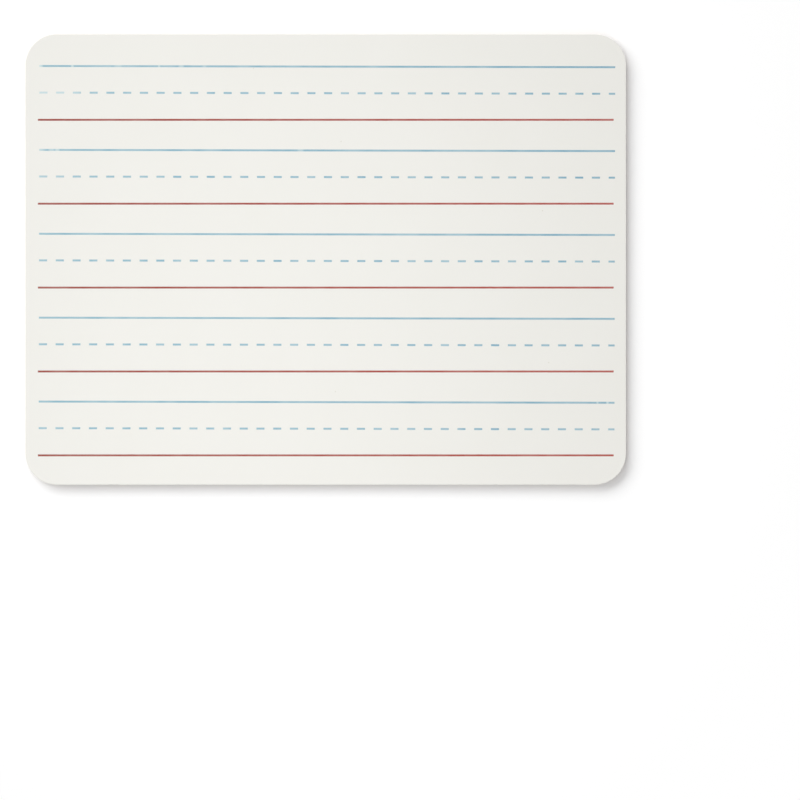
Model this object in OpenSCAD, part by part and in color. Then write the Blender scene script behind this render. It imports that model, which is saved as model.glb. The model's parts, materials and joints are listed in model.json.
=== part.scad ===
// Double-sided dry erase lapboard: a hardboard core with a coated face sheet glued to each side.
// The upper face carries handwriting rows in two print passes, blue and red. The lower face is plain.
// Origin: middle of the plain face. +X runs along the lines, +Y to the top row, +Z out of the lined face.

/* [Board] */
// Length along the lines
board_l = 304.8; // [254:0.1:406.4]
// Width across the lines
board_w = 228.6; // [203.2:0.1:304.8]
// Radius of the four corners
corner_r = 16; // [3:0.5:30]

/* [Layers] */
// Thickness of the pressed hardboard core
core_t = 2.7; // [2:0.1:6]
// Thickness of the glue film between the core and the lined face sheet
lined_glue_t = 0.05; // [0.02:0.01:0.2]
// Thickness of the glue film between the core and the plain face sheet
plain_glue_t = 0.05; // [0.02:0.01:0.2]
// Thickness of the coated sheet on the lined side
lined_sheet_t = 0.2; // [0.15:0.01:0.6]
// Thickness of the coated sheet on the plain side
plain_sheet_t = 0.2; // [0.15:0.01:0.6]
// Bevel around the outer face of both sheets
edge_break = 0.1; // [0.04:0.01:0.14]

/* [Writing rows] */
// Number of writing rows
row_count = 5; // [1:1:6]
// Distance from the top edge of the board to the first head line
head_margin = 16.4; // [10:0.1:25]
// Distance from the last base line to the bottom edge of the board
foot_margin = 14.9; // [10:0.1:25]
// Step from head line to mid line, and from mid line to base line
line_step = 13.5; // [8:0.1:16]
// Blank left at each end of the lines
side_margin = 6.3; // [4:0.1:20]
// Depth of the ink, which lies flush with the coated face
ink_t = 0.04; // [0.01:0.01:0.1]

/* [Blue print pass] */
// Weight of the head lines and of the dashes
blue_weight = 1; // [0.3:0.05:1.5]
// Length of one dash of a mid line
dash_l = 4.1; // [2:0.1:10]
// Space between two dashes
dash_gap = 4.4; // [1:0.1:10]
// Shift of the blue pass to the right of the red pass
blue_shift = 0.6; // [-2:0.1:2]
// Clockwise turn of the blue pass against the red pass, in degrees
blue_skew = 0.12; // [-0.3:0.01:0.3]

/* [Red print pass] */
// Weight of the base lines
red_weight = 1; // [0.3:0.05:1.5]

/* [Hidden] */
$fn = 96;

// Pockets are cut this far past the face that they open
overcut = 0.5;

// Heights of the layers, from the plain face up
plain_glue_z = plain_sheet_t;
core_z = plain_glue_z + plain_glue_t;
lined_glue_z = core_z + core_t;
lined_sheet_z = lined_glue_z + lined_glue_t;
board_t = lined_sheet_z + lined_sheet_t;
ink_z = board_t - ink_t;

// Centres of the corner arcs
corner_x = board_l / 2 - corner_r;
corner_y = board_w / 2 - corner_r;

// The rows share out the height between the two margins
row_h = 2 * line_step;
row_pitch = (board_w - head_margin - foot_margin - row_h) / max(1, row_count - 1);
rows = [1 : row_count];
function head_y(row) = board_w / 2 - head_margin - (row - 1) * row_pitch;
function mid_y(row) = head_y(row) - line_step;
function base_y(row) = head_y(row) - row_h;

// Dashes start at the left end of the line, and the last one stops with it
line_l = board_l - 2 * side_margin;
dash_pitch = dash_l + dash_gap;
dash_starts = [for (x = 0; x <= line_l - blue_weight; x = x + dash_pitch) x];

hardboard_brown = "#8B6B4A";
glue_cream = "#E4DCC4";
coated_white = "#F0EFE9";
ink_blue = "#70A8C8";
ink_red = "#A5484A";

// Outline of the board, a rectangle with round corners
module board_outline() {
    square([board_l, 2 * corner_y], center = true);
    square([2 * corner_x, board_w], center = true);
    for (x = [-corner_x, corner_x], y = [-corner_y, corner_y]) {
        translate([x, y]) circle(corner_r);
    }
}

// Section through the bevel, of the given width at its foot
module bevel_section(width) {
    foot = width / 2;
    top = foot - edge_break;
    polygon([[-foot, 0], [foot, 0], [top, edge_break], [-top, edge_break]]);
}

// Rim of a face sheet, drawn in by the edge break over its height
module bevelled_rim() {
    rotate([90, 0, 90]) linear_extrude(2 * corner_x, center = true) bevel_section(board_w);
    rotate([90, 0, 0]) linear_extrude(2 * corner_y, center = true) bevel_section(board_l);
    for (x = [-corner_x, corner_x], y = [-corner_y, corner_y]) {
        translate([x, y]) cylinder(h = edge_break, r1 = corner_r, r2 = corner_r - edge_break);
    }
}

// Layer with square edges
module layer(z, t) {
    translate([0, 0, z]) linear_extrude(t) board_outline();
}

// Face sheet that stands on z = 0 with its bevelled outer face up
module face_sheet(t) {
    layer(0, t - edge_break);
    translate([0, 0, t - edge_break]) bevelled_rim();
}

// Outlines of a solid line and of a dashed line across the board at height y
module line_mark(y, weight) {
    translate([-line_l / 2, y - weight / 2]) square([line_l, weight]);
}

module dash_marks(y) {
    for (x = dash_starts) {
        translate([x - line_l / 2, y - blue_weight / 2]) square([min(dash_l, line_l - x), blue_weight]);
    }
}

// Each pass lays its marks in its own register, from the foot of the ink up by h
module blue_pass(h) {
    translate([blue_shift, 0, ink_z]) rotate(-blue_skew) linear_extrude(h) children();
}

module red_pass(h) {
    translate([0, 0, ink_z]) linear_extrude(h) children();
}

// Printed lines of one row, also used as the cutters of their own pockets
module head_line(row, h = ink_t) {
    color(ink_blue) blue_pass(h) line_mark(head_y(row), blue_weight);
}

module mid_dashes(row, h = ink_t) {
    color(ink_blue) blue_pass(h) dash_marks(mid_y(row));
}

module base_line(row, h = ink_t) {
    color(ink_red) red_pass(h) line_mark(base_y(row), red_weight);
}

module lined_face_sheet() {
    pocket_h = ink_t + overcut;
    color(coated_white) difference() {
        translate([0, 0, lined_sheet_z]) face_sheet(lined_sheet_t);
        for (row = rows) {
            head_line(row, pocket_h);
            mid_dashes(row, pocket_h);
            base_line(row, pocket_h);
        }
    }
}

module lined_glue_film() {
    color(glue_cream) layer(lined_glue_z, lined_glue_t);
}

module hardboard_core() {
    color(hardboard_brown) layer(core_z, core_t);
}

module plain_glue_film() {
    color(glue_cream) layer(plain_glue_z, plain_glue_t);
}

module plain_face_sheet() {
    color(coated_white) translate([0, 0, plain_sheet_t]) mirror([0, 0, 1]) face_sheet(plain_sheet_t);
}

hardboard_core();
lined_glue_film();
plain_glue_film();
lined_face_sheet();
plain_face_sheet();
for (row = rows) {
    head_line(row);
    mid_dashes(row);
    base_line(row);
}
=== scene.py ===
import json
import math

import bmesh
import bpy
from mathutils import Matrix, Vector, noise


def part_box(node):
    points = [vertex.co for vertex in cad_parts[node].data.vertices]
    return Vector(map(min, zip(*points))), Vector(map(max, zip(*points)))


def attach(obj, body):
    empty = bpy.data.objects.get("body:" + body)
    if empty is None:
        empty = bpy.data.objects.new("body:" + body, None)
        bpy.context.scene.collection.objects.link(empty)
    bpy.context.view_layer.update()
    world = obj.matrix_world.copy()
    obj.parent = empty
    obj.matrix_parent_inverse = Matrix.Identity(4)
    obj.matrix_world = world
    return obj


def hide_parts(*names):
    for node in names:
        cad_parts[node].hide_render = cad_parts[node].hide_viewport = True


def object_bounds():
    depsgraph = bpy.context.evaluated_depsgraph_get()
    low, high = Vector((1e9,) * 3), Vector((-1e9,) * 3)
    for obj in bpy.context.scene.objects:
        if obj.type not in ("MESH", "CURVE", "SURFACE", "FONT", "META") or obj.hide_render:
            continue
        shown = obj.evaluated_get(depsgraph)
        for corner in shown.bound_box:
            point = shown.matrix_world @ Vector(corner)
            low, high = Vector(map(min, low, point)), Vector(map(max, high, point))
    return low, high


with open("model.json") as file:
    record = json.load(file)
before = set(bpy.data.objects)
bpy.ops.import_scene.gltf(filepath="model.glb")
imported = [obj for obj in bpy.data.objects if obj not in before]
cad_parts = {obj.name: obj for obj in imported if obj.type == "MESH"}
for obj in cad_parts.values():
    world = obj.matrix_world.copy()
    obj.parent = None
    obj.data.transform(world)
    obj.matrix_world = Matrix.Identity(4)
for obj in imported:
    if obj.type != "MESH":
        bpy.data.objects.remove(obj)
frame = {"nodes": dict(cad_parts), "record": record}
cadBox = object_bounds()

scene = bpy.context.scene
scene.view_settings.view_transform = "Standard"
mm = 0.001
nodes = frame["nodes"]
print("frame loaded:", len(nodes), "nodes")


def toLinear(hexColour):
    channels = [int(hexColour[i:i + 2], 16) / 255 for i in (1, 3, 5)]
    return [c / 12.92 if c <= 0.04045 else ((c + 0.055) / 1.055) ** 2.4 for c in channels] + [1.0]


# a Mix node's sockets share their names, so these go by number
valueA, valueB = 2, 3
colourA, colourB, colourOut = 6, 7, 2


def addNode(tree, kind, settings=None, inputs=None):
    node = tree.nodes.new(kind)
    for name, value in (settings or {}).items():
        setattr(node, name, value)
    for socket, value in (inputs or {}).items():
        if isinstance(value, bpy.types.NodeSocket):
            tree.links.new(value, node.inputs[socket])
        else:
            node.inputs[socket].default_value = value
    return node


def startMaterial(name):
    material = bpy.data.materials.new(name)
    material.use_nodes = True
    material.node_tree.nodes.clear()
    return material, material.node_tree


# camera: square on to the lined face, with the board where the photo has it
camera = {
    "lensMm": 135,
    "sensorMm": 36,
    "imagePx": 800,
    "mmPerPx": 0.5075,              # 12 x 9 in board over its photographed length and width
    "boardCentrePx": (325.75, 259.5),
}


def makeCamera():
    data = bpy.data.cameras.new("productCamera")
    data.lens = camera["lensMm"]
    data.sensor_width = camera["sensorMm"]
    fieldMm = camera["imagePx"] * camera["mmPerPx"]
    height = fieldMm * mm * data.lens / data.sensor_width
    middle = camera["imagePx"] / 2
    offsetX = (middle - camera["boardCentrePx"][0]) * camera["mmPerPx"] * mm
    offsetY = (camera["boardCentrePx"][1] - middle) * camera["mmPerPx"] * mm
    obj = bpy.data.objects.new("productCamera", data)
    obj.location = (offsetX, offsetY, cadBox[1].z + height)
    scene.collection.objects.link(obj)
    scene.camera = obj


makeCamera()
print("camera set")


# light, in metres: a wide soft box far off at the upper left throws the soft shadows to the right and below,
# a strip over the left half leaves the right edge a shade darker, and a low card at the lower right
# lights the edges that face away; mirrored in the face, the room is pale at the horizon and grey overhead
softBox = {"place": (-4.8, 5.4, 3.5), "aim": (0, 0, 0), "size": (12.0, 5.0), "level": 0.925}
fillStrip = {"place": (-0.05, -0.13, 0.45), "aim": (-0.05, -0.13, 0), "size": (0.25, 0.7), "level": 0.41}
edgeCard = {"place": (3.0, -3.0, 0.8), "aim": (0, 0, 0), "size": (3.0, 1.2), "level": 0.05}
room = {"level": 0.10, "horizon": 0.8, "overhead": 0.3, "horizonSine": 0.05, "overheadSine": 0.6}


def makeLamp(name, lamp):
    place = Vector(lamp["place"])
    back = place - Vector(lamp["aim"])
    data = bpy.data.lights.new(name, "AREA")
    data.shape = "RECTANGLE"
    data.size, data.size_y = lamp["size"]
    # level is about what a white card on the floor, where the lamp aims, would show by it alone
    data.energy = lamp["level"] * math.pi ** 2 * back.length ** 3 / back.z
    obj = bpy.data.objects.new(name, data)
    obj.location = place
    obj.rotation_euler = back.to_track_quat("Z", "Y").to_euler()
    obj.visible_camera = False
    obj.visible_glossy = False
    scene.collection.objects.link(obj)


def makeRoom():
    world = bpy.data.worlds.new("paleRoom")
    world.use_nodes = True
    tree = world.node_tree
    tree.nodes.clear()
    path = addNode(tree, "ShaderNodeLightPath")
    way = addNode(tree, "ShaderNodeTexCoord").outputs["Generated"]
    height = addNode(tree, "ShaderNodeSeparateXYZ", None, {"Vector": way}).outputs["Z"]
    mirrored = addNode(tree, "ShaderNodeMapRange", {"interpolation_type": "SMOOTHSTEP"},
                       {"Value": height, "From Min": room["horizonSine"], "From Max": room["overheadSine"],
                        "To Min": room["horizon"], "To Max": room["overhead"]})
    level = addNode(tree, "ShaderNodeMapRange", None,
                    {"Value": path.outputs["Is Glossy Ray"],
                     "To Min": room["level"], "To Max": mirrored.outputs["Result"]})
    seen = addNode(tree, "ShaderNodeMath", {"operation": "MAXIMUM"},
                   {0: path.outputs["Is Camera Ray"], 1: path.outputs["Is Transmission Ray"]})
    level = addNode(tree, "ShaderNodeMapRange", None,
                    {"Value": seen.outputs[0], "To Min": level.outputs["Result"], "To Max": 1.0})
    back = addNode(tree, "ShaderNodeBackground", None,
                   {"Color": (1, 1, 1, 1), "Strength": level.outputs["Result"]})
    addNode(tree, "ShaderNodeOutputWorld", None, {"Surface": back.outputs[0]})
    scene.world = world


makeLamp("softBox", softBox)
makeLamp("fillStrip", fillStrip)
makeLamp("edgeCard", edgeCard)
makeRoom()
print("light set")


# floor: white to the eye, and it keeps the board's shadow
floor = {
    "size": 6.0,
    "bounce": "#E6E6E4",
    "shadowShare": 0.72,            # part of the white that the shadow can take away
    "whiteLift": 0.32,
    "fade": (0.205, 0.32),          # metres from the middle over which the floor turns plain white
    "drop": 0.02 * mm,              # clears the board's underside
}


def makeFloor():
    mesh = bpy.data.meshes.new("floor")
    half = floor["size"] / 2
    corners = [(-half, -half, 0), (half, -half, 0), (half, half, 0), (-half, half, 0)]
    mesh.from_pydata(corners, [], [(0, 1, 2, 3)])
    obj = bpy.data.objects.new("floor", mesh)
    obj.location.z = cadBox[0].z - floor["drop"]
    scene.collection.objects.link(obj)
    material, tree = startMaterial("paintedSweepMatt")
    path = addNode(tree, "ShaderNodeLightPath")
    seen = addNode(tree, "ShaderNodeMath", {"operation": "MAXIMUM"},
                   {0: path.outputs["Is Camera Ray"], 1: path.outputs["Is Glossy Ray"]})
    seen = addNode(tree, "ShaderNodeMath", {"operation": "MAXIMUM"},
                   {0: seen.outputs[0], 1: path.outputs["Is Transmission Ray"]})
    share = floor["shadowShare"]
    shaded = addNode(tree, "ShaderNodeBsdfDiffuse", None, {"Color": (share, share, share, 1)})
    lift = addNode(tree, "ShaderNodeEmission", None, {"Strength": floor["whiteLift"]})
    white = addNode(tree, "ShaderNodeAddShader", None, {0: shaded.outputs[0], 1: lift.outputs[0]})
    at = addNode(tree, "ShaderNodeTexCoord").outputs["Object"]
    away = addNode(tree, "ShaderNodeVectorMath", {"operation": "LENGTH"}, {0: at})
    fade = addNode(tree, "ShaderNodeMapRange", {"interpolation_type": "SMOOTHSTEP"},
                   {"Value": away.outputs["Value"],
                    "From Min": floor["fade"][0], "From Max": floor["fade"][1]})
    blank = addNode(tree, "ShaderNodeEmission", None, {"Strength": 1.0})
    white = addNode(tree, "ShaderNodeMixShader", None,
                    {0: fade.outputs["Result"], 1: white.outputs[0], 2: blank.outputs[0]})
    plain = addNode(tree, "ShaderNodeBsdfDiffuse", None, {"Color": toLinear(floor["bounce"])})
    top = addNode(tree, "ShaderNodeMixShader", None,
                  {0: seen.outputs[0], 1: plain.outputs[0], 2: white.outputs[0]})
    # open from below, so that the plain face can be looked at
    side = addNode(tree, "ShaderNodeNewGeometry")
    clear = addNode(tree, "ShaderNodeBsdfTransparent")
    both = addNode(tree, "ShaderNodeMixShader", None,
                   {0: side.outputs["Backfacing"], 1: top.outputs[0], 2: clear.outputs[0]})
    addNode(tree, "ShaderNodeOutputMaterial", None, {"Surface": both.outputs[0]})
    mesh.materials.append(material)


makeFloor()
print("floor set")


# melamine paper, roller coated with clear dry erase lacquer: an even, faintly warm white with a
# wet-looking skin, a very shallow orange peel and a stray speck of fibre under the coat
face = {
    "colour": "#EEEDE8",
    "mottle": "#EBEAE4",
    "mottleMm": 38,
    "mottleDetail": 3.0,
    "speck": "#DAD7CD",
    "speckCellMm": 52,
    "speckMm": 0.55,
    "speckFade": (0.3, 0.7),        # where a speck's rim starts and ends, as shares of its size
    "speckShare": 0.3,              # part of the cells that hold a speck
    "peelMm": 2.4,
    "peelDetail": 2.0,
    "peelRoughness": 0.4,
    "peelDeepMm": 0.002,
    "ior": 1.5,
    "roughness": (0.09, 0.16),
}


def makeFace():
    material, tree = startMaterial("melamineRollerCoated")
    at = addNode(tree, "ShaderNodeTexCoord").outputs["Object"]
    mottle = addNode(tree, "ShaderNodeTexNoise", None,
                     {"Vector": at, "Scale": 1 / (face["mottleMm"] * mm), "Detail": face["mottleDetail"]})
    colour = addNode(tree, "ShaderNodeMix", {"data_type": "RGBA"},
                     {"Factor": mottle.outputs["Fac"],
                      colourA: toLinear(face["colour"]), colourB: toLinear(face["mottle"])})
    cells = addNode(tree, "ShaderNodeTexVoronoi", {"voronoi_dimensions": "2D"},
                    {"Vector": at, "Scale": 1 / (face["speckCellMm"] * mm)})
    rimStart, rimEnd = [share * face["speckMm"] / face["speckCellMm"] for share in face["speckFade"]]
    dot = addNode(tree, "ShaderNodeMapRange", {"interpolation_type": "SMOOTHSTEP"},
                  {"Value": cells.outputs["Distance"],
                   "From Min": rimStart, "From Max": rimEnd, "To Min": 1.0, "To Max": 0.0})
    draw = addNode(tree, "ShaderNodeSeparateColor", None, {"Color": cells.outputs["Color"]})
    chosen = addNode(tree, "ShaderNodeMath", {"operation": "LESS_THAN"},
                     {0: draw.outputs["Red"], 1: face["speckShare"]})
    speck = addNode(tree, "ShaderNodeMath", {"operation": "MULTIPLY"},
                    {0: dot.outputs["Result"], 1: chosen.outputs[0]})
    speckled = addNode(tree, "ShaderNodeMix", {"data_type": "RGBA"},
                       {"Factor": speck.outputs[0],
                        colourA: colour.outputs[colourOut], colourB: toLinear(face["speck"])})
    peel = addNode(tree, "ShaderNodeTexNoise", None,
                   {"Vector": at, "Scale": 1 / (face["peelMm"] * mm),
                    "Detail": face["peelDetail"], "Roughness": face["peelRoughness"]})
    skin = addNode(tree, "ShaderNodeBump", None,
                   {"Height": peel.outputs["Fac"], "Distance": face["peelDeepMm"] * mm})
    rough = addNode(tree, "ShaderNodeMapRange", None,
                    {"Value": mottle.outputs["Fac"],
                     "To Min": face["roughness"][0], "To Max": face["roughness"][1]})
    shader = addNode(tree, "ShaderNodeBsdfPrincipled", None,
                     {"Base Color": speckled.outputs[colourOut], "Roughness": rough.outputs["Result"],
                      "Normal": skin.outputs["Normal"], "IOR": face["ior"]})
    addNode(tree, "ShaderNodeOutputMaterial", None, {"Surface": shader.outputs[0]})
    return material


# screen printed ink, level with the coated face: flat colour that thins to the white below it where the
# squeegee left less ink, with the fine grain of the screen's mesh and pale spots where it ran dry
blueInk = {
    "name": "screenPrintedBlueInk",
    "left": "#88B4C5",
    "right": "#7FABBF",
    "thinned": "#CFDFE1",
    "patchDepth": 0.34,
    # dry spots: the mark, the place along it and the reach each way in mm, and the share of ink left
    "drySpots": (
        ("head_line_1", -145.4, 2.4, 0.0),
        ("head_line_1", -128.6, 0.95, 0.12),
        ("head_line_1", -105.4, 2.8, 0.48),
        ("head_line_1", -84.6, 0.8, 0.2),
        ("head_line_1", -73.4, 2.0, 0.38),
        ("head_line_1", -61.6, 1.4, 0.55),
        ("head_line_2", -146.5, 5.5, 0.25),
        ("head_line_2", -139.2, 2.0, 0.36),
        ("head_line_2", -136.3, 1.6, 0.2),
        ("head_line_2", -12.8, 2.1, 0.46),
        ("head_line_5", 137.9, 0.7, 0.32),
        ("head_line_5", 143.0, 0.9, 0.18),
        ("mid_dashes_1", -140, 22, 0.15),
        ("mid_dashes_2", -145, 22, 0.5),
    ),
}
redInk = {
    "name": "screenPrintedRedInk",
    "left": "#99443A",
    "right": "#AE483F",
    "thinned": "#DDC0B9",
    "patchDepth": 0.16,
    "drySpots": (),
}
inkFilm = {
    "patchMm": 9,
    "grainMm": 0.45,                # the screen's mesh, drawn some three times too coarse so that it shows
    "grainDepth": 0.14,
    "noiseDetail": 1.0,
    "noiseSpan": (0.3, 0.7),        # noise at which the film is thinnest and at which it is full
    "lineHalfMm": 146,              # the colour drifts from left to right over twice this length
    "dryAcrossMm": 5,
    "dryCore": 0.3,                 # part of a dry spot's reach that is evenly dry
    "ior": 1.5,
    "roughness": 0.14,
}


def makeInk(ink):
    material, tree = startMaterial(ink["name"])
    at = addNode(tree, "ShaderNodeTexCoord").outputs["Object"]
    split = addNode(tree, "ShaderNodeSeparateXYZ", None, {"Vector": at})
    half = inkFilm["lineHalfMm"] * mm
    along = addNode(tree, "ShaderNodeMapRange", None,
                    {"Value": split.outputs["X"], "From Min": -half, "From Max": half})
    body = addNode(tree, "ShaderNodeMix", {"data_type": "RGBA"},
                   {"Factor": along.outputs["Result"],
                    colourA: toLinear(ink["left"]), colourB: toLinear(ink["right"])})
    thins = []
    patches = (inkFilm["patchMm"], ink["patchDepth"])
    grain = (inkFilm["grainMm"], inkFilm["grainDepth"])
    for sizeMm, depth in (patches, grain):
        blotch = addNode(tree, "ShaderNodeTexNoise", None,
                         {"Vector": at, "Scale": 1 / (sizeMm * mm), "Detail": inkFilm["noiseDetail"]})
        thins.append(addNode(tree, "ShaderNodeMapRange", None,
                             {"Value": blotch.outputs["Fac"],
                              "From Min": inkFilm["noiseSpan"][0], "From Max": inkFilm["noiseSpan"][1],
                              "To Min": 1 - depth, "To Max": 1.0}))
    for mark, alongMm, reachMm, inkLeft in ink["drySpots"]:
        lo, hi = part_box(mark)
        centre = [alongMm * mm, (lo.y + hi.y) / 2, 0]
        spread = [1 / (reachMm * mm), 1 / (inkFilm["dryAcrossMm"] * mm), 0]
        away = addNode(tree, "ShaderNodeVectorMath", {"operation": "SUBTRACT"}, {0: at, 1: centre})
        away = addNode(tree, "ShaderNodeVectorMath", {"operation": "MULTIPLY"},
                       {0: away.outputs[0], 1: spread})
        away = addNode(tree, "ShaderNodeVectorMath", {"operation": "LENGTH"}, {0: away.outputs[0]})
        thins.append(addNode(tree, "ShaderNodeMapRange", {"interpolation_type": "SMOOTHSTEP"},
                             {"Value": away.outputs["Value"],
                              "From Min": inkFilm["dryCore"], "To Min": inkLeft}))
    strength = thins[0].outputs["Result"]
    for thin in thins[1:]:
        strength = addNode(tree, "ShaderNodeMath", {"operation": "MULTIPLY"},
                           {0: strength, 1: thin.outputs["Result"]}).outputs[0]
    colour = addNode(tree, "ShaderNodeMix", {"data_type": "RGBA"},
                     {"Factor": strength,
                      colourA: toLinear(ink["thinned"]), colourB: body.outputs[colourOut]})
    shader = addNode(tree, "ShaderNodeBsdfPrincipled", None,
                     {"Base Color": colour.outputs[colourOut],
                      "Roughness": inkFilm["roughness"], "IOR": inkFilm["ior"]})
    addNode(tree, "ShaderNodeOutputMaterial", None, {"Surface": shader.outputs[0]})
    return material


# wet pressed hardboard, sawn and sanded: dull brown matted fibres that lie along the board,
# darker and denser towards the two pressed faces; the fibres are drawn some three times too coarse,
# because real ones would not show from a step away
hardboard = {
    "light": "#AD8860",
    "dark": "#674A2F",
    "contrast": (0.38, 0.62),       # fibre noise that is fully dark and fully light
    "fibreMm": (4.5, 4.5, 0.45),
    "clumpMm": (14, 14, 1.4),
    "clumpShare": 0.4,
    "fibreDetail": 4.0,
    "fibreRoughness": 0.6,
    "fleck": "#CFAF85",
    "fleckMm": (6, 6, 0.5),
    "fleckDetail": 1.0,
    "fleckSpan": (0.62, 0.72),      # noise over which a pale strand starts to show
    "fleckStrength": 0.8,
    "skin": "#5F4329",
    "skinMm": 0.5,
    "skinStrength": 0.7,
    "roughness": 0.82,
    "ior": 1.46,
    "bumpMm": 0.05,
}


def makeHardboard():
    material, tree = startMaterial("hardboardSawnEdge")
    at = addNode(tree, "ShaderNodeTexCoord").outputs["Object"]
    fibres = []
    for size in (hardboard["fibreMm"], hardboard["clumpMm"]):
        stretched = addNode(tree, "ShaderNodeVectorMath", {"operation": "MULTIPLY"},
                            {0: at, 1: [1 / (s * mm) for s in size]})
        fibres.append(addNode(tree, "ShaderNodeTexNoise", None,
                              {"Vector": stretched.outputs[0], "Scale": 1.0,
                               "Detail": hardboard["fibreDetail"],
                               "Roughness": hardboard["fibreRoughness"]}))
    blend = addNode(tree, "ShaderNodeMix", None,
                    {"Factor": hardboard["clumpShare"],
                     valueA: fibres[0].outputs["Fac"], valueB: fibres[1].outputs["Fac"]})
    spread = addNode(tree, "ShaderNodeMapRange", None,
                     {"Value": blend.outputs[0],
                      "From Min": hardboard["contrast"][0], "From Max": hardboard["contrast"][1]})
    fibreColour = addNode(tree, "ShaderNodeMix", {"data_type": "RGBA"},
                          {"Factor": spread.outputs["Result"],
                           colourA: toLinear(hardboard["dark"]), colourB: toLinear(hardboard["light"])})
    strand = addNode(tree, "ShaderNodeVectorMath", {"operation": "MULTIPLY"},
                     {0: at, 1: [1 / (s * mm) for s in hardboard["fleckMm"]]})
    strand = addNode(tree, "ShaderNodeTexNoise", None,
                     {"Vector": strand.outputs[0], "Scale": 1.0, "Detail": hardboard["fleckDetail"]})
    fleck = addNode(tree, "ShaderNodeMapRange", {"interpolation_type": "SMOOTHSTEP"},
                    {"Value": strand.outputs["Fac"],
                     "From Min": hardboard["fleckSpan"][0], "From Max": hardboard["fleckSpan"][1],
                     "To Min": 0.0, "To Max": hardboard["fleckStrength"]})
    fibreColour = addNode(tree, "ShaderNodeMix", {"data_type": "RGBA"},
                          {"Factor": fleck.outputs["Result"],
                           colourA: fibreColour.outputs[colourOut], colourB: toLinear(hardboard["fleck"])})
    lo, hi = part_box("hardboard_core")
    middle = (lo.z + hi.z) / 2
    half = (hi.z - lo.z) / 2
    height = addNode(tree, "ShaderNodeSeparateXYZ", None, {"Vector": at}).outputs["Z"]
    fromMiddle = addNode(tree, "ShaderNodeMath", {"operation": "SUBTRACT"}, {0: height, 1: middle})
    fromMiddle = addNode(tree, "ShaderNodeMath", {"operation": "ABSOLUTE"}, {0: fromMiddle.outputs[0]})
    skin = addNode(tree, "ShaderNodeMapRange", {"interpolation_type": "SMOOTHSTEP"},
                   {"Value": fromMiddle.outputs[0],
                    "From Min": half - hardboard["skinMm"] * mm, "From Max": half,
                    "To Min": 0.0, "To Max": hardboard["skinStrength"]})
    colour = addNode(tree, "ShaderNodeMix", {"data_type": "RGBA"},
                     {"Factor": skin.outputs["Result"],
                      colourA: fibreColour.outputs[colourOut], colourB: toLinear(hardboard["skin"])})
    bump = addNode(tree, "ShaderNodeBump", None,
                   {"Height": blend.outputs[0], "Distance": hardboard["bumpMm"] * mm})
    shader = addNode(tree, "ShaderNodeBsdfPrincipled", None,
                     {"Base Color": colour.outputs[colourOut], "Roughness": hardboard["roughness"],
                      "IOR": hardboard["ior"], "Normal": bump.outputs["Normal"]})
    addNode(tree, "ShaderNodeOutputMaterial", None, {"Surface": shader.outputs[0]})
    return material


# dried white wood glue: a thin cream line, satin, a little uneven where it was squeezed out
glue = {
    "colour": "#E2D9BF",
    "squeezed": "#CDBF9C",
    "beadMm": 4.0,
    "beadDetail": 2.0,
    "roughness": 0.45,
    "ior": 1.48,
}


def makeGlue():
    material, tree = startMaterial("driedWoodGlue")
    at = addNode(tree, "ShaderNodeTexCoord").outputs["Object"]
    bead = addNode(tree, "ShaderNodeTexNoise", None,
                   {"Vector": at, "Scale": 1 / (glue["beadMm"] * mm), "Detail": glue["beadDetail"]})
    colour = addNode(tree, "ShaderNodeMix", {"data_type": "RGBA"},
                     {"Factor": bead.outputs["Fac"],
                      colourA: toLinear(glue["colour"]), colourB: toLinear(glue["squeezed"])})
    shader = addNode(tree, "ShaderNodeBsdfPrincipled", None,
                     {"Base Color": colour.outputs[colourOut],
                      "Roughness": glue["roughness"], "IOR": glue["ior"]})
    addNode(tree, "ShaderNodeOutputMaterial", None, {"Surface": shader.outputs[0]})
    return material


faceMaterial = makeFace()
blueMaterial = makeInk(blueInk)
redMaterial = makeInk(redInk)
hardboardMaterial = makeHardboard()
glueMaterial = makeGlue()
print("materials made")


# the five layers share one outline, a rectangle with round corners whose sizes come from the frame
outline = {"arcStepMm": 0.6, "straightStepMm": 1.0, "slackMm": 0.001}


def outlinePoints(node):
    # points round a layer, each with its way out
    lo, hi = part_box(node)
    slack = outline["slackMm"] * mm
    turn = max(v.co.x for v in nodes[node].data.vertices if v.co.y > hi.y - slack)
    radius = hi.x - turn
    arcCount = round(radius * math.pi / 2 / (outline["arcStepMm"] * mm))
    centres = [(hi.x - radius, hi.y - radius), (lo.x + radius, hi.y - radius),
               (lo.x + radius, lo.y + radius), (hi.x - radius, lo.y + radius)]
    points = []
    for quarter, (x, y) in enumerate(centres):
        for k in range(arcCount + 1):
            angle = math.pi / 2 * (quarter + k / arcCount)
            out = Vector((math.cos(angle), math.sin(angle), 0))
            points.append((Vector((x, y, 0)) + out * radius, out))
        nextX, nextY = centres[(quarter + 1) % len(centres)]
        run = Vector((nextX - x, nextY - y, 0))
        stops = round(run.length / (outline["straightStepMm"] * mm))
        corner = points[-1][0]
        points += [(corner + run * k / stops, out) for k in range(1, stops)]
    return points


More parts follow.
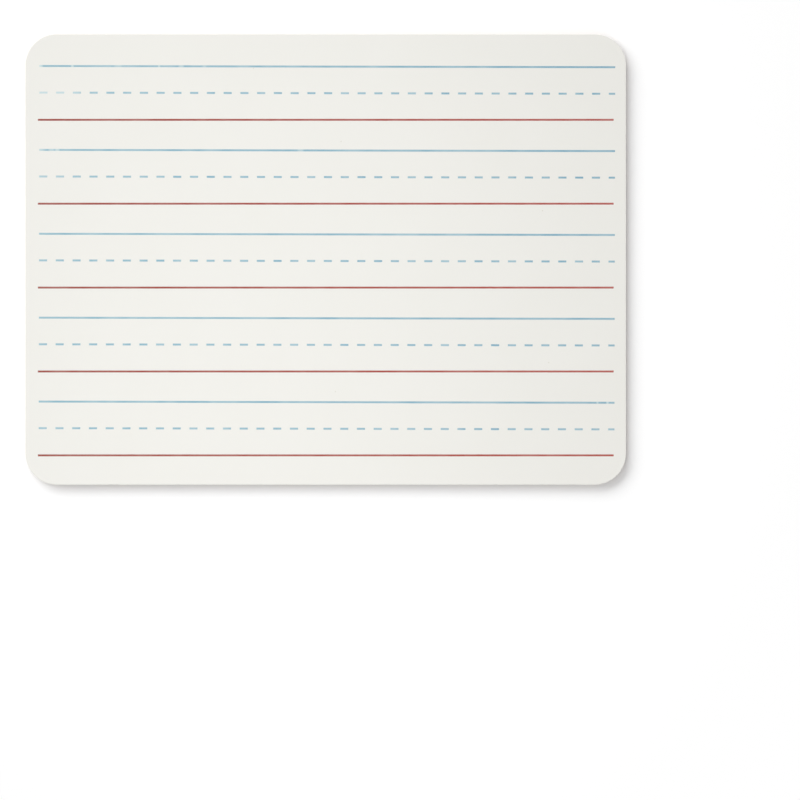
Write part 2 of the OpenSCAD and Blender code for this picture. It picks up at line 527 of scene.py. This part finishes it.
def makeLayer(layer, material, rings):
    # rings are heights with how far the edge stands back there, from the underside up
    points = outlinePoints(layer["node"])
    fibreLong, fibreThick = layer["fibreMm"]
    shape = bmesh.new()
    loops = []
    for z, depth in rings:
        loop = []
        for point, out in points:
            grain = Vector((point.x, point.y, z * fibreLong / fibreThick))
            torn = abs(noise.noise(grain / (fibreLong * mm)))
            spot = point - out * (depth + layer["tornMm"] * mm * torn)
            loop.append(shape.verts.new((spot.x, spot.y, z)))
        loops.append(loop)
    count = len(points)
    for lower, upper in zip(loops, loops[1:]):
        for k in range(count):
            nextK = (k + 1) % count
            shape.faces.new((lower[k], lower[nextK], upper[nextK], upper[k]))
    shape.faces.new(list(reversed(loops[0])))
    shape.faces.new(loops[-1])
    mesh = bpy.data.meshes.new(layer["name"])
    shape.to_mesh(mesh)
    shape.free()
    mesh.materials.append(material)
    obj = bpy.data.objects.new(layer["name"], mesh)
    scene.collection.objects.link(obj)
    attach(obj, "root")
    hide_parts(layer["node"])
    return obj


# core: its sawn edge stands a hair back from the face sheets, with torn fibres along it
core = {
    "name": "sawnCore",
    "node": "hardboard_core",
    "slot": "hardboard",
    "steps": 10,
    "setBackMm": 0.06,
    "tornMm": 0.12,
    "fibreMm": (5.0, 0.4),          # along the board and through it
}
lo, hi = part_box(core["node"])
coreHeights = [lo.z + (hi.z - lo.z) * k / core["steps"] for k in range(core["steps"] + 1)]
makeLayer(core, hardboardMaterial, [(z, core["setBackMm"] * mm) for z in coreHeights])
print("core made")


# glue films: each stops a little short of the edge, by more in some places than in others
glueFilm = {"slot": "glue", "setBackMm": 0.03, "tornMm": 0.15, "fibreMm": (7.0, 7.0)}
for name, node in (("linedGlue", "lined_glue_film"), ("plainGlue", "plain_glue_film")):
    lo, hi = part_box(node)
    film = dict(glueFilm, name=name, node=node)
    makeLayer(film, glueMaterial, [(z, film["setBackMm"] * mm) for z in (lo.z, hi.z)])
print("glue films made")


# face sheets: the sander has rounded the outer rim, and the lined one has a pocket under each mark
sheet = {
    "slot": "coated_face",
    "rimMm": 0.1,
    "rimSteps": 3,
    "tornMm": 0.012,
    "fibreMm": (1.5, 1.5),
    "overcutMm": 0.5,               # how far the pockets' cutter reaches past the face
}


def rimRings(inner, outer):
    # straight wall from the glue out, then a quarter round to the outer face
    rim = sheet["rimMm"] * mm
    up = 1 if outer > inner else -1
    rings = [(inner, 0.0)]
    for k in range(sheet["rimSteps"] + 1):
        angle = math.pi / 2 * k / sheet["rimSteps"]
        rings.append((outer - up * rim * (1 - math.sin(angle)), rim * (1 - math.cos(angle))))
    return rings if up == 1 else rings[::-1]


def cutPockets(obj, marks):
    shape = bmesh.new()
    for name in marks:
        shape.from_mesh(nodes[name].data)
    bmesh.ops.remove_doubles(shape, verts=shape.verts, dist=outline["slackMm"] * mm)
    lo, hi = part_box(marks[0])
    for vert in shape.verts:
        if vert.co.z > (lo.z + hi.z) / 2:
            vert.co.z += sheet["overcutMm"] * mm
    mesh = bpy.data.meshes.new("markCutter")
    shape.to_mesh(mesh)
    shape.free()
    cutter = bpy.data.objects.new("markCutter", mesh)
    scene.collection.objects.link(cutter)
    cut = obj.modifiers.new("pockets", "BOOLEAN")
    cut.object = cutter
    cut.solver = "EXACT"
    shaped = obj.evaluated_get(bpy.context.evaluated_depsgraph_get())
    pocketed = bpy.data.meshes.new_from_object(shaped)
    obj.modifiers.clear()
    obj.data = pocketed
    bpy.data.objects.remove(cutter)


inks = {"blue_ink": blueMaterial, "red_ink": redMaterial}
markRows = [row for row in frame["record"]["subparts"] if row["material_slot"] in inks]
lo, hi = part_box("lined_face_sheet")
linedSheet = dict(sheet, name="linedSheet", node="lined_face_sheet")
cutPockets(makeLayer(linedSheet, faceMaterial, rimRings(lo.z, hi.z)), [row["node"] for row in markRows])
lo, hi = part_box("plain_face_sheet")
plainSheet = dict(sheet, name="plainSheet", node="plain_face_sheet")
makeLayer(plainSheet, faceMaterial, rimRings(hi.z, lo.z))
print("face sheets made")


# marks: the printed lines and dashes keep their own solids and get their ink
for row in markRows:
    obj = nodes[row["node"]]
    for materialSlot in obj.material_slots:
        materialSlot.material = inks[row["material_slot"]]
print("marks inked")
